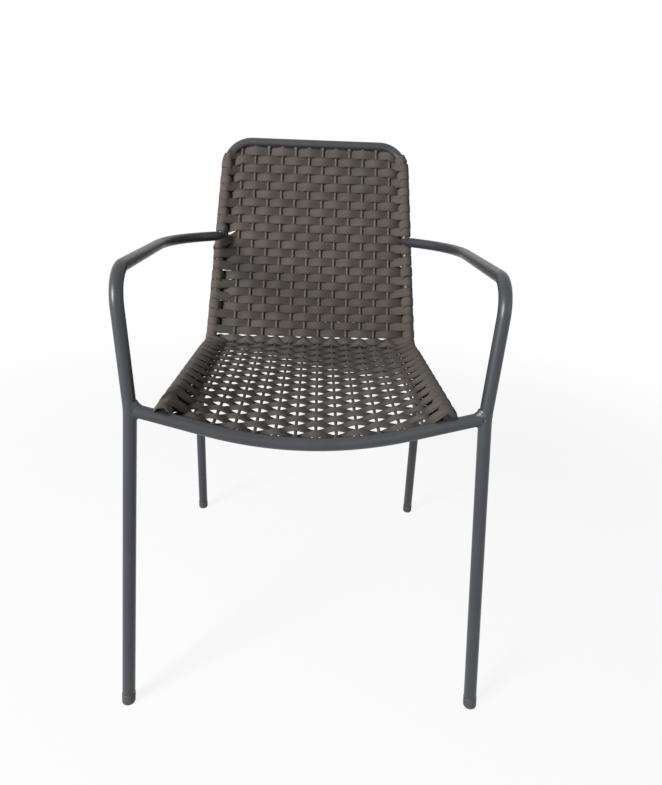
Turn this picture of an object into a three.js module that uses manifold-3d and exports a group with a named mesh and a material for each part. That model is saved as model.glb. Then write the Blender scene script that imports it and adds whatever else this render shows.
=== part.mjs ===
// An armchair of bent round steel tube with a strap-woven seat and back, in millimetres, +Z up.
// Lengths across are half widths from the chair's middle plane, depths run back from the front feet,
// and heights are above the floor. +X is to the right as the chair is seen from the front.
import * as THREE from "three";
import { mergeVertices } from "three/addons/utils/BufferGeometryUtils.js";
import Module from "manifold-3d";

const wasm = await Module();
wasm.setup();

// Stock
const tubeDiameter = 19;
const tubeWall = 1.5;
const rodDiameter = 5;
const strapWidth = 15.6; // on the seat
const strapThickness = 2.8;

// Clearances
const seatGap = 0.3; // at every welded, seated or wrapped face
const rowGap = 0.5; // between neighbouring strap rows
const crossingRise = 0.2; // extra height of a strap where it crosses a rod
const wrapSlack = 0.2; // extra radius of the turns round a side tube
const cutOverrun = 5; // how far a cutting block runs past what it cuts

// Looser rows at the top of the back
const looseRowShare = 0.15; // how much taller the top row is than a row of the seat
const looseReachShare = 0.45; // how far down the weave the rows go on getting lower

// Front legs, which carry on up and back as the arms
const frontFootHalfWidth = 263;
const frontJointHalfWidth = 248;
const frontJointDepth = 39;
const frontJointHeight = 467;
const armFrontHalfWidth = 264.5;
const armFrontDepth = 51.5;
const armFrontHeight = 658;
const armRearHalfWidth = 277;
const armRearDepth = 382;
const armRearHeight = 654;
const armEndHeight = 649;
const armEndSetback = 3; // its end plane before the axis of the back's tube
const legBendRadius = 150;
const armFrontRadius = 45;
const armRearRadius = 100;

// Front rail, a shallow bow that hangs between the front legs
const frontRailDip = 67; // of the point where its two straight ends would meet
const frontRailRadius = 557;

// Seat and back tube
const backTopHalfWidth = 184.5;
const backTopDepth = 614;
const backTopHeight = 843;
const seatRearHalfWidth = 208;
const seatRearDepth = 481.5;
const seatRearHeight = 439;
const seatFrontHalfWidth = 203.5;
const seatTubeRise = 7.5; // its axis above the front rail's axis
const seatTubeReach = 2; // its end plane behind the front rail's axis
const topCornerRadius = 52;
const seatBendRadius = 35;

// Rear legs, one hoop with its cross tube under the seat
const rearFootHalfWidth = 246.5;
const rearFootDepth = 552;
const rearHoopHalfWidth = 239;
const rearHoopRadius = 45;

// Warp rods
const rodCount = 12;
const rodSpacingTop = 28.5;
const rodSpacingRear = 29.4;
const rodSpacingFront = 30.2;
const rodRise = 4; // rod axis above the front rail's axis

// Foot plugs
const footHeadDiameter = 20.6;
const footHeadHeight = 18;
const footEdgeRadius = 4;
const footSpigotLength = 15;

// Facets
const tubeSides = 12;
const boreSides = 8;
const wrapSides = 8;
const rodSides = 8;
const footSides = 16;
const footEdgeSteps = 3;
const bendStep = Math.PI / 12;
const railBendStep = Math.PI / 36;
const rodBendStep = Math.PI / 7;
const halvings = 40;

const tubeRadius = tubeDiameter / 2;
const boreRadius = tubeRadius - tubeWall;
const rodRadius = rodDiameter / 2;
const across = new THREE.Vector3(1, 0, 0);

const powderCoat = new THREE.MeshStandardMaterial({ color: 0x4c4f52, roughness: 0.55, metalness: 0.3 });
const strapCloth = new THREE.MeshStandardMaterial({ color: 0x57514d, roughness: 0.9, metalness: 0 });
const footPlastic = new THREE.MeshStandardMaterial({ color: 0x2c2d2f, roughness: 0.6, metalness: 0 });

const chair = new THREE.Group();
const assembly = new THREE.Group();
chair.add(assembly);

function addPiece(name, geometry, material) {
  const piece = new THREE.Mesh(geometry, material);
  piece.name = name;
  assembly.add(piece);
}

// Solids for joining and cutting
function solidFrom(geometry) {
  const bare = geometry.clone();
  bare.deleteAttribute("normal");
  bare.deleteAttribute("uv");
  const merged = mergeVertices(bare);
  return new wasm.Manifold(
    new wasm.Mesh({
      numProp: 3,
      vertProperties: merged.attributes.position.array,
      triVerts: new Uint32Array(merged.index.array),
    }),
  );
}

function geometryFrom(solid) {
  const mesh = solid.getMesh();
  const geometry = new THREE.BufferGeometry();
  geometry.setAttribute("position", new THREE.BufferAttribute(mesh.vertProperties, 3));
  geometry.setIndex(new THREE.BufferAttribute(mesh.triVerts, 1));
  geometry.computeVertexNormals();
  return geometry;
}

// A route is a list of straight runs and round bends through the given corners.
function routeThrough(corners, bendRadii) {
  const runs = [];
  let from = corners[0];
  for (let i = 1; i < corners.length - 1; i++) {
    const before = corners[i].clone().sub(corners[i - 1]).normalize();
    const after = corners[i + 1].clone().sub(corners[i]).normalize();
    const turn = before.angleTo(after);
    const radius = bendRadii[i - 1];
    const setback = radius * Math.tan(turn / 2);
    const start = corners[i].clone().addScaledVector(before, -setback);
    const inward = after.clone().addScaledVector(before, -Math.cos(turn)).normalize();
    const centre = start.clone().addScaledVector(inward, radius);
    runs.push({ from, along: before, length: start.distanceTo(from) });
    runs.push({ centre, spoke: inward.negate(), along: before, radius, turn, length: radius * turn });
    from = corners[i].clone().addScaledVector(after, setback);
  }
  const last = corners[corners.length - 1];
  runs.push({ from, along: last.clone().sub(from).normalize(), length: last.distanceTo(from) });
  return runs;
}

// The place a share of the way along one run: its point and its direction.
function placeOn(run, share) {
  if (!run.turn) {
    const point = run.from.clone().addScaledVector(run.along, run.length * share);
    return { point, along: run.along.clone() };
  }
  const angle = run.turn * share;
  const spoke = run.spoke.clone().multiplyScalar(Math.cos(angle)).addScaledVector(run.along, Math.sin(angle));
  const along = run.along.clone().multiplyScalar(Math.cos(angle)).addScaledVector(run.spoke, -Math.sin(angle));
  return { point: run.centre.clone().addScaledVector(spoke, run.radius), along };
}

// The place where a measure that grows along the whole route reaches a value.
function placeWhere(route, measure, value) {
  const run = route.find((one) => measure(placeOn(one, 1).point) >= value) ?? route[route.length - 1];
  let low = 0;
  let high = 1;
  for (let i = 0; i < halvings; i++) {
    const middle = (low + high) / 2;
    if (measure(placeOn(run, middle).point) < value) low = middle;
    else high = middle;
  }
  return placeOn(run, (low + high) / 2);
}

// Every place that a swept tube needs: the ends of each run, and steps round each bend.
function placesAlong(route, step = bendStep) {
  const places = [placeOn(route[0], 0)];
  for (const run of route) {
    const count = run.turn ? Math.max(1, Math.round(run.turn / step)) : 1;
    for (let i = 1; i <= count; i++) places.push(placeOn(run, i / count));
  }
  return places;
}

// A curve that visits the given places one by one, so that a sweep has its rings just there.
class PlacedCurve extends THREE.Curve {
  constructor(places) {
    super();
    this.places = places;
  }
  getPointAt(share, target = new THREE.Vector3()) {
    return target.copy(this.places[Math.round(share * (this.places.length - 1))].point);
  }
  getTangentAt(share, target = new THREE.Vector3()) {
    return target.copy(this.places[Math.round(share * (this.places.length - 1))].along);
  }
}

function polygon(radius, sides) {
  const points = [];
  for (let i = 0; i < sides; i++) {
    const angle = (2 * Math.PI * i) / sides;
    points.push(new THREE.Vector2(radius * Math.cos(angle), radius * Math.sin(angle)));
  }
  return points;
}

function sweep(places, radius, sides, bore = 0, holeSides = boreSides) {
  const section = new THREE.Shape(polygon(radius, sides));
  if (bore > 0) section.holes.push(new THREE.Path(polygon(bore, holeSides)));
  return new THREE.ExtrudeGeometry(section, {
    steps: places.length - 1,
    extrudePath: new PlacedCurve(places),
    bevelEnabled: false,
  });
}

// A tube's own hollow solid, and the solid bar that its neighbours are cut back by.
function tubeSolid(route, step = bendStep) {
  return solidFrom(sweep(placesAlong(route, step), tubeRadius, tubeSides, boreRadius));
}

function clearanceBar(route, radius = tubeRadius, sides = tubeSides, step = bendStep) {
  return solidFrom(sweep(placesAlong(route, step), radius + seatGap, sides));
}

// The front rail hangs from one front leg to the other.
const frontRailRoute = routeThrough(
  [
    new THREE.Vector3(-frontJointHalfWidth, frontJointDepth, frontJointHeight),
    new THREE.Vector3(0, frontJointDepth, frontJointHeight - frontRailDip),
    new THREE.Vector3(frontJointHalfWidth, frontJointDepth, frontJointHeight),
  ],
  [frontRailRadius],
);

function frontRailAt(x) {
  return placeWhere(frontRailRoute, (point) => point.x, x).point;
}

// The seat and back tube: forward ends at the front rail, bends under the back, corners at the top.
const seatFront = frontRailAt(seatFrontHalfWidth);
const seatFrontDepth = seatFront.y + seatTubeReach;
const seatFrontHeight = seatFront.z + seatTubeRise;

function seatTubeCorners(side) {
  return [
    new THREE.Vector3(side * backTopHalfWidth, backTopDepth, backTopHeight),
    new THREE.Vector3(side * seatRearHalfWidth, seatRearDepth, seatRearHeight),
    new THREE.Vector3(side * seatFrontHalfWidth, seatFrontDepth, seatFrontHeight),
  ];
}

const seatBackRoute = routeThrough(
  [...seatTubeCorners(-1).reverse(), ...seatTubeCorners(1)],
  [seatBendRadius, topCornerRadius, topCornerRadius, seatBendRadius],
);

// One side of that tube from the middle of the top rail down and forward, which the straps wrap.
function sideRoute(side) {
  return routeThrough(
    [new THREE.Vector3(0, backTopDepth, backTopHeight), ...seatTubeCorners(side)],
    [topCornerRadius, seatBendRadius],
  );
}

// A front leg with its arm, from the foot up, back and in to the side of the back.
const backDirection = seatTubeCorners(1)[0].sub(seatTubeCorners(1)[1]);
const armEndShare = (armEndHeight - seatRearHeight) / backDirection.z;
const armEnd = seatTubeCorners(1)[1].addScaledVector(backDirection, armEndShare);

function armRoute(side) {
  const foot = new THREE.Vector3(frontFootHalfWidth, 0, 0);
  const joint = new THREE.Vector3(frontJointHalfWidth, frontJointDepth, frontJointHeight);
  const legLength = joint.distanceTo(foot);
  foot.lerp(joint, (footHeadHeight + seatGap) / legLength);
  const rearCorner = new THREE.Vector3(armRearHalfWidth, armRearDepth, armRearHeight);
  const corners = [
    foot,
    joint,
    new THREE.Vector3(armFrontHalfWidth, armFrontDepth, armFrontHeight),
    rearCorner,
    rearCorner.clone().sub(armEnd).setLength(armEndSetback).add(armEnd),
  ];
  for (const corner of corners) corner.x *= side;
  return routeThrough(corners, [legBendRadius, armFrontRadius, armRearRadius]);
}

// The rear hoop: its cross tube lies against the outside of the two seat bends.
const seatBend = sideRoute(1)[3];
const bendMiddle = placeOn(seatBend, 1 / 2).point;
const bendOutward = bendMiddle.clone().sub(seatBend.centre).setX(0).normalize();
const crossTube = bendMiddle.clone().addScaledVector(bendOutward, tubeDiameter + seatGap);

function rearHoopRoute() {
  const foot = new THREE.Vector3(rearFootHalfWidth, rearFootDepth, 0);
  const corner = new THREE.Vector3(rearHoopHalfWidth, crossTube.y, crossTube.z);
  foot.lerp(corner, (footHeadHeight + seatGap) / corner.distanceTo(foot));
  const mirrored = [corner, foot].map((point) => point.clone().setX(-point.x)).reverse();
  return routeThrough([...mirrored, corner, foot], [rearHoopRadius, rearHoopRadius]);
}

// The frame
const backBar = clearanceBar(seatBackRoute);
const railBar = clearanceBar(frontRailRoute, tubeRadius, tubeSides, railBendStep);
const armRoutes = { left: armRoute(-1), right: armRoute(1) };
const armBars = Object.values(armRoutes).map((route) => clearanceBar(route));
const hoopBar = clearanceBar(rearHoopRoute());

for (const [side, route] of Object.entries(armRoutes)) {
  addPiece(`front_leg_arm_${side}`, geometryFrom(tubeSolid(route).subtract(backBar)), powderCoat);
}
addPiece("seat_back_tube", geometryFrom(tubeSolid(seatBackRoute).subtract(railBar)), powderCoat);
addPiece("rear_leg_hoop", geometryFrom(tubeSolid(rearHoopRoute())), powderCoat);
const wholeRail = tubeSolid(frontRailRoute, railBendStep);
const fittedRail = armBars.reduce((rail, bar) => rail.subtract(bar), wholeRail);
addPiece("front_rail", geometryFrom(fittedRail), powderCoat);

// The warp rods run from under the top rail, down the back, round the bend and forward to the front rail.
function rodRoute(number) {
  const place = number - (rodCount + 1) / 2;
  const frontX = place * rodSpacingFront;
  const front = frontRailAt(frontX);
  return routeThrough(
    [
      new THREE.Vector3(place * rodSpacingTop, backTopDepth, backTopHeight),
      new THREE.Vector3(place * rodSpacingRear, seatRearDepth, seatRearHeight),
      new THREE.Vector3(frontX, front.y, front.z + rodRise),
    ],
    [seatBendRadius],
  );
}

const rodRoutes = Array.from({ length: rodCount }, (_, i) => rodRoute(i + 1));
const rodBars = rodRoutes.map((route) => clearanceBar(route, rodRadius, rodSides, rodBendStep));
rodRoutes.forEach((route, i) => {
  const rod = solidFrom(sweep(placesAlong(route, rodBendStep), rodRadius, rodSides));
  const name = `warp_rod_${String(i + 1).padStart(2, "0")}`;
  addPiece(name, geometryFrom(rod.subtract(backBar).subtract(railBar)), powderCoat);
});

// The weave. A level of 0 to 1 lies on the back, 1 to 2 in the bend and 2 to 3 on the seat.
const middleRoute = routeThrough(
  [
    new THREE.Vector3(0, backTopDepth, backTopHeight),
    new THREE.Vector3(0, seatRearDepth, seatRearHeight),
    frontRailAt(0).setZ(frontRailAt(0).z + rodRise),
  ],
  [seatBendRadius],
);
const downBack = middleRoute[0].along;
const backRun = middleRoute[0].length;
const sideRoutes = [sideRoute(-1), sideRoute(1)];

function levelAt(distance) {
  let left = distance;
  for (let i = 0; i < middleRoute.length - 1; i++) {
    if (left < middleRoute[i].length) return i + left / middleRoute[i].length;
    left -= middleRoute[i].length;
  }
  return middleRoute.length - 1 + left / middleRoute[middleRoute.length - 1].length;
}

function warpPlace(route, level) {
  const run = Math.min(Math.floor(level), route.length - 1);
  return placeOn(route[run], level - run);
}

// The side tube's place at a level; on the back it is found by how far it lies below the top rail.
function sidePlace(route, level) {
  if (level >= 1) return warpPlace(route.slice(2), level);
  const top = route[0].from;
  return placeWhere(route, (point) => point.clone().sub(top).dot(downBack), level * backRun);
}

const wrapRadius = tubeRadius + seatGap + wrapSlack + strapThickness / 2;
const sleeveBore = (wrapRadius - strapThickness / 2) / Math.cos(Math.PI / wrapSides);
const sleeveRadius = (wrapRadius + strapThickness / 2) / Math.cos(Math.PI / wrapSides);
const crossingHeight = rodRadius + seatGap + crossingRise + strapThickness / 2;
const weaveStart = tubeRadius + rowGap;
const weaveLength = middleRoute.reduce((sum, run) => sum + run.length, 0) - 2 * weaveStart;
const looseLength = 1 + (looseRowShare * looseReachShare) / 2;
const courseCount = Math.floor(weaveLength / looseLength / (2 * (strapWidth + rowGap)));
const seatPitch = weaveLength / looseLength / (2 * courseCount);
const bendStart = backRun;
const bendEnd = backRun + middleRoute[1].length;
const bendSag = seatBendRadius - Math.sqrt(seatBendRadius ** 2 - (strapWidth / 2) ** 2);
const bendPitchAngle = (seatPitch / middleRoute[1].length) * sideRoutes[0][3].turn;

// How far down the weave a row begins.
function rowStart(row) {
  const share = row / (2 * courseCount);
  const loose = Math.min(share, looseReachShare);
  const stretched = share + looseRowShare * (loose - loose ** 2 / (2 * looseReachShare));
  return weaveStart + (weaveLength * stretched) / looseLength;
}

// The widest flat strap that clears its neighbours in the bend, where its upper face lies this far up.
function pinchedWidth(reach) {
  return Math.min(strapWidth, 2 * (seatBendRadius - reach) * Math.tan(bendPitchAngle / 2) - rowGap);
}

// Where a strap leaves the wrap on a side tube, on its way to the nearest rod.
function wrapStation(tube, nearest, passesFront, width) {
  const face = nearest.downward.clone().cross(across).normalize();
  const offset = nearest.point.clone().sub(tube.point);
  const inward = across.clone().multiplyScalar(Math.sign(offset.x));
  const height = offset.dot(face);
  const reach = Math.hypot(offset.dot(inward), height);
  const lean = Math.atan2(height, offset.dot(inward));
  const leave = lean + passesFront * Math.acos(wrapRadius / reach);
  const radial = inward.multiplyScalar(Math.cos(leave)).addScaledVector(face, Math.sin(leave));
  const point = tube.point.clone().addScaledVector(radial, wrapRadius);
  return { point, up: radial.multiplyScalar(passesFront), downward: nearest.downward, width };
}

// One row of strap, from wrap to wrap, over and under the rods in turn.
function strapRow(row) {
  const distance = (rowStart(row) + rowStart(row + 1)) / 2;
  const level = levelAt(distance);
  const nearBend = distance > bendStart - seatPitch && distance < bendEnd + seatPitch;
  const fullWidth = rowStart(row + 1) - rowStart(row) - rowGap;
  const width = nearBend ? pinchedWidth(crossingHeight + bendSag + strapThickness / 2) : fullWidth;
  const wrapWidth = nearBend ? pinchedWidth(sleeveRadius) : fullWidth;
  const rods = rodRoutes.map((route) => warpPlace(route, level));
  const tubes = sideRoutes.map((route) => sidePlace(route, level));
  const sideOf = (warp) => ((warp + row) % 2 === 0 ? 1 : -1);
  const stations = rods.map((rod, i) => {
    const before = rods[Math.max(i - 1, 0)].point;
    const after = rods[Math.min(i + 1, rodCount - 1)].point;
    const up = rod.along.clone().cross(after.clone().sub(before)).normalize();
    const side = sideOf(i + 1);
    const height = side > 0 && nearBend ? crossingHeight + bendSag : crossingHeight;
    const point = rod.point.clone().addScaledVector(up, side * height);
    return { point, up, downward: rod.along, width };
  });
  const first = wrapStation(tubes[0], stations[0], sideOf(0), wrapWidth);
  const last = wrapStation(tubes[1], stations[rodCount - 1], sideOf(rodCount + 1), wrapWidth);
  return ribbon([first, ...stations, last]);
}

// A closed flat band through the stations, each with its middle, its face, its width and its direction.
function ribbon(stations) {
  const positions = [];
  const indices = [];
  const corners = [
    [1, 1],
    [-1, 1],
    [-1, -1],
    [1, -1],
  ];
  for (const { point, up, downward, width } of stations) {
    for (const [edge, face] of corners) {
      const corner = point.clone();
      corner.addScaledVector(downward, (edge * width) / 2);
      corner.addScaledVector(up, (face * strapThickness) / 2);
      positions.push(corner.x, corner.y, corner.z);
    }
  }
  const ring = corners.length;
  for (let i = 0; i < stations.length - 1; i++) {
    for (let j = 0; j < ring; j++) {
      const here = i * ring + j;
      const beside = i * ring + ((j + 1) % ring);
      indices.push(here, here + ring, beside, beside, here + ring, beside + ring);
    }
  }
  const end = (stations.length - 1) * ring;
  indices.push(0, 1, 2, 0, 2, 3);
  indices.push(end, end + 2, end + 1, end, end + 3, end + 2);
  const geometry = new THREE.BufferGeometry();
  geometry.setAttribute("position", new THREE.Float32BufferAttribute(positions, 3));
  geometry.setIndex(indices);
  return geometry;
}

// The turns of strap round one side tube that join the two rows of a course.
function wrapSleeve(route, course) {
  const from = rowStart(2 * course) + rowGap / 2;
  const to = rowStart(2 * course + 2) - rowGap / 2;
  const curved = sidePlace(route, levelAt(from)).along.angleTo(sidePlace(route, levelAt(to)).along);
  const steps = Math.max(1, Math.ceil(curved / bendStep));
  const places = [];
  for (let i = 0; i <= steps; i++) {
    const place = sidePlace(route, levelAt(from + ((to - from) * i) / steps));
    if (from > topCornerRadius) place.along.setX(0).normalize();
    places.push(place);
  }
  return solidFrom(sweep(places, sleeveRadius, wrapSides, sleeveBore, wrapSides));
}

// A block that fills the space beyond one level of the back, above it or below it.
function blockBeyond(distance, direction) {
  const span = 2 * (seatRearHalfWidth + tubeDiameter);
  const block = new THREE.BoxGeometry(span, span, tubeDiameter);
  block.translate(0, 0, (direction * tubeDiameter) / 2);
  block.applyQuaternion(new THREE.Quaternion().setFromUnitVectors(new THREE.Vector3(0, 0, 1), downBack));
  const middle = middleRoute[0].from.clone().addScaledVector(downBack, distance);
  block.translate(middle.x, middle.y, middle.z);
  return solidFrom(block);
}

// A course is one strap that crosses, turns round a side tube and comes back.
const frameBars = [backBar, railBar, hoopBar, ...armBars, ...rodBars];
for (let course = 0; course < courseCount; course++) {
  const rows = [2 * course, 2 * course + 1].map((row) => solidFrom(strapRow(row)));
  const wraps = sideRoutes.map((route) => wrapSleeve(route, course));
  const joined = [...rows, ...wraps].reduce((sum, solid) => sum.add(solid));
  const from = rowStart(2 * course) + rowGap / 2;
  const to = rowStart(2 * course + 2) - rowGap / 2;
  const blocks = [];
  if (from < topCornerRadius && course > 0) blocks.push(blockBeyond(from, -1));
  if (from < topCornerRadius) blocks.push(blockBeyond(to, 1));
  const meets = (solid, bar) => !solid.intersect(bar).isEmpty();
  const cut = [...frameBars, ...blocks].reduce(
    (solid, bar) => (meets(solid, bar) ? solid.subtract(bar) : solid),
    joined,
  );
  addPiece(`strap_course_${String(course + 1).padStart(2, "0")}`, geometryFrom(cut), strapCloth);
}

// A foot plug: a rounded head under the tube's end, and a spigot up its bore. It stands flat on the floor.
function footPlug(floorPoint, legDirection) {
  const headRadius = footHeadDiameter / 2;
  const spigotRadius = boreRadius * Math.cos(Math.PI / boreSides) - seatGap;
  const outline = [new THREE.Vector2(0, -footEdgeRadius / 2)];
  for (let i = 0; i <= footEdgeSteps; i++) {
    const angle = (Math.PI / 2) * (i / footEdgeSteps - 1);
    outline.push(
      new THREE.Vector2(
        headRadius - footEdgeRadius + footEdgeRadius * Math.cos(angle),
        footEdgeRadius / 2 + footEdgeRadius * Math.sin(angle),
      ),
    );
  }
  outline.push(new THREE.Vector2(headRadius, footHeadHeight));
  outline.push(new THREE.Vector2(spigotRadius, footHeadHeight));
  outline.push(new THREE.Vector2(spigotRadius, footHeadHeight + footSpigotLength));
  outline.push(new THREE.Vector2(0, footHeadHeight + footSpigotLength));
  const turned = new THREE.LatheGeometry(outline, footSides);
  const upright = new THREE.Vector3(0, 1, 0);
  turned.applyQuaternion(new THREE.Quaternion().setFromUnitVectors(upright, legDirection));
  turned.translate(floorPoint.x, floorPoint.y, floorPoint.z);
  const block = new THREE.BoxGeometry(2 * footHeadDiameter, 2 * footHeadDiameter, cutOverrun);
  block.translate(floorPoint.x, floorPoint.y, -cutOverrun / 2);
  return geometryFrom(solidFrom(turned).subtract(solidFrom(block)));
}

for (const [sideName, side] of [["left", -1], ["right", 1]]) {
  const frontFoot = new THREE.Vector3(side * frontFootHalfWidth, 0, 0);
  const frontLeg = new THREE.Vector3(side * frontJointHalfWidth, frontJointDepth, frontJointHeight);
  addPiece(`foot_front_${sideName}`, footPlug(frontFoot, frontLeg.sub(frontFoot).normalize()), footPlastic);
  const rearFoot = new THREE.Vector3(side * rearFootHalfWidth, rearFootDepth, 0);
  const rearLeg = new THREE.Vector3(side * rearHoopHalfWidth, crossTube.y, crossTube.z);
  addPiece(`foot_rear_${sideName}`, footPlug(rearFoot, rearLeg.sub(rearFoot).normalize()), footPlastic);
}

// The origin is the middle of the chair's footprint box, on the floor.
const box = new THREE.Box3().setFromObject(assembly, true);
assembly.position.set(0, -(box.min.y + box.max.y) / 2, 0);

export default chair;
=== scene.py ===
import math

import bpy
import numpy as np
from mathutils import Matrix, Vector


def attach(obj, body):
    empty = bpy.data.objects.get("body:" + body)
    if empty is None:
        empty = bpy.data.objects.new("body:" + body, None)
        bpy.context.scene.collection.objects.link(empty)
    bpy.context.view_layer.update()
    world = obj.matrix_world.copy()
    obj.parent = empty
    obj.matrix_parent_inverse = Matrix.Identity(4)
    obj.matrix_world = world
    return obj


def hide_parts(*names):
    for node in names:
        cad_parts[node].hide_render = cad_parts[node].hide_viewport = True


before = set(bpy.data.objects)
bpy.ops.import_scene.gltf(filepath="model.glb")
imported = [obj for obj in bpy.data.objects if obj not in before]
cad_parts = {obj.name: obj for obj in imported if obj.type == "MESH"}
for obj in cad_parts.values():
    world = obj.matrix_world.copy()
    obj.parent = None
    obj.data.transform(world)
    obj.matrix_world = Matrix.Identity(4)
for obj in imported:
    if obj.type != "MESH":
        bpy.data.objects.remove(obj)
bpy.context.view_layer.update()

# Front legs and arms
# Each front leg carries on up and back as the arm: one length of 19 mm round steel tube, bent at the
# front rail, at the arm's front corner and behind the elbow, then drawn to a tip on the back's side.
tube_radius = 0.0095
tube_sides = 48
front_feet = 0.3071632  # from the front feet back to the middle of the footprint
tube_start = 0.012  # how far up a leg its tube begins, inside the end cap
leg_bends = (0.150, 0.053, 0.225)  # at the front rail, the arm's front corner and behind the elbow
tip_length = 0.045
tip_steps = 15
tip_share = 0.12  # how much of the tube's radius is left at the tip
tip_fullness = 1.7  # the higher, the later the tube narrows
coat_dark = (0.030, 0.033, 0.038)
coat_light = (0.038, 0.042, 0.048)


def at(across, depth, height):
    """A point in metres, from mm across from the middle, behind the front feet and above the floor."""
    return Vector((across / 1000, depth / 1000 - front_feet, height / 1000))


def mirrored(point, side):
    """The same point on the left (-1) or the right (1) of the chair."""
    return Vector((point.x * side, point.y, point.z))


def bent_runs(corners, radii):
    """The straight runs and round bends of a tube or rod that is bent at the given corners."""
    runs = []
    start = corners[0]
    for before_corner, corner, after_corner, radius in zip(corners, corners[1:], corners[2:], radii):
        before = (corner - before_corner).normalized()
        after = (after_corner - corner).normalized()
        turn = before.angle(after)
        setback = radius * math.tan(turn / 2)
        bend_start = corner - before * setback
        inward = (after - before * math.cos(turn)).normalized()
        runs.append({"from": start, "along": before, "length": (bend_start - start).length})
        centre = bend_start + inward * radius
        runs.append({"centre": centre, "spoke": -inward, "along": before, "radius": radius,
                     "turn": turn, "length": radius * turn})
        start = corner + after * setback
    last = corners[-1] - start
    runs.append({"from": start, "along": last.normalized(), "length": last.length})
    return runs


def place_on(run, share):
    """The point and the direction a share of the way along one run."""
    if "turn" not in run:
        return run["from"] + run["along"] * (run["length"] * share), run["along"].copy()
    angle = run["turn"] * share
    spoke = run["spoke"] * math.cos(angle) + run["along"] * math.sin(angle)
    along = run["along"] * math.cos(angle) - run["spoke"] * math.sin(angle)
    return run["centre"] + spoke * run["radius"], along


def bent_line(corners, radii, step=3):
    """Points along a bent tube's axis, one at every few degrees of its bends."""
    runs = bent_runs(corners, radii)
    points = [runs[0]["from"]]
    for run in runs:
        count = max(1, round(run["turn"] / math.radians(step))) if "turn" in run else 1
        points += [place_on(run, i / count)[0] for i in range(1, count + 1)]
    return points


def around(count):
    """Angles spread evenly round a circle."""
    return [2 * math.pi * i / count for i in range(count)]


def in_scene(name, data):
    """A new object in the scene that shows a mesh, a lamp or a camera."""
    made = bpy.data.objects.new(name, data)
    bpy.context.scene.collection.objects.link(made)
    return made


def line_object(name, points, **values):
    """A bare mesh of one open line for Geometry Nodes to work on, with values given point by point."""
    mesh = bpy.data.meshes.new(name)
    mesh.from_pydata([tuple(p) for p in points], [(i, i + 1) for i in range(len(points) - 1)], [])
    for label, value in values.items():
        kind, field = ("FLOAT_VECTOR", "vector") if value.ndim == 2 else ("FLOAT", "value")
        data = mesh.attributes.new(label, kind, "POINT").data
        data.foreach_set(field, value.astype(np.float32).ravel())
    return in_scene(name, mesh)


def new_tree(name, inputs):
    """An empty Geometry Nodes tree with a mesh and named sizes in and a mesh out, and its input."""
    tree = bpy.data.node_groups.new(name, "GeometryNodeTree")
    tree.interface.new_socket("Geometry", in_out="INPUT", socket_type="NodeSocketGeometry")
    for label, kind, value in inputs:
        socket = tree.interface.new_socket(label, in_out="INPUT", socket_type="NodeSocket" + kind)
        if value is not None:
            socket.default_value = value
    tree.interface.new_socket("Geometry", in_out="OUTPUT", socket_type="NodeSocketGeometry")
    return tree, tree.nodes.new("NodeGroupInput").outputs


def wire(tree, made, wires):
    """Wires or sets a node's inputs, which are given by name or number."""
    for key, value in wires.items():
        socket = made.inputs[key]
        if isinstance(value, bpy.types.NodeSocket):
            tree.links.new(value, socket)
        else:
            socket.default_value = value


def node(tree, kind, wires=None, **settings):
    """Adds one node to a tree, with its settings and inputs, and gives its outputs."""
    made = tree.nodes.new(kind)
    for label, value in settings.items():
        setattr(made, label, value)
    wire(tree, made, wires or {})
    return made.outputs


def maths(tree, operation, *values):
    """The result of one step of arithmetic in a tree."""
    return node(tree, "ShaderNodeMath", dict(enumerate(values)), operation=operation)[0]


def moved_range(tree, value, old, new, **settings):
    """A value of the old range carried over to the new one."""
    return node(tree, "ShaderNodeMapRange", {
        "Value": value, "From Min": old[0], "From Max": old[1], "To Min": new[0], "To Max": new[1]},
        **settings)[0]


def along_line(tree, sizes):
    """The tree's line as a curve, and at each point how far it is from the start and from the end."""
    curve = node(tree, "GeometryNodeMeshToCurve", {"Mesh": sizes["Geometry"]})[0]
    from_start = node(tree, "GeometryNodeSplineParameter")["Length"]
    whole = node(tree, "GeometryNodeSplineLength")["Length"]
    return curve, from_start, maths(tree, "SUBTRACT", whole, from_start)


def round_skin(tree, curve, radius, sides, scale):
    """A round skin along a curve, thicker or thinner from point to point."""
    ring = node(tree, "GeometryNodeCurvePrimitiveCircle", {"Resolution": sides, "Radius": radius})
    return node(tree, "GeometryNodeCurveToMesh", {
        "Curve": curve, "Profile Curve": ring["Curve"], "Scale": scale,
        "Fill Caps": True})[0]


def finish_tree(tree, mesh, sizes):
    """Smooth sides, flat end caps, real geometry and the material close every tree."""
    neighbours = node(tree, "GeometryNodeInputMeshFaceNeighbors")
    is_side = node(tree, "FunctionNodeCompare", {2: neighbours["Vertex Count"], 3: 5},
                   data_type="INT", operation="LESS_THAN")
    smooth = node(tree, "GeometryNodeSetShadeSmooth",
                  {"Geometry": mesh, "Shade Smooth": is_side[0]})
    real = node(tree, "GeometryNodeRealizeInstances", {"Geometry": smooth[0]})
    painted = node(tree, "GeometryNodeSetMaterial",
                   {"Geometry": real[0], "Material": sizes["Material"]})
    tree.links.new(painted[0], tree.nodes.new("NodeGroupOutput").inputs[0])


def grown(piece, tree, values):
    """Runs a tree on a piece with the given sizes and keeps the result as the piece's own mesh."""
    modifier = piece.modifiers.new(tree.name, "NODES")
    modifier.node_group = tree
    for item in tree.interface.items_tree:
        if item.in_out == "INPUT" and item.name in values:
            modifier[item.identifier] = values[item.name]
    bpy.context.view_layer.update()
    ready = piece.evaluated_get(bpy.context.evaluated_depsgraph_get())
    mesh = bpy.data.meshes.new_from_object(ready)
    piece.modifiers.remove(modifier)
    piece.data = mesh
    return piece


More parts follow.
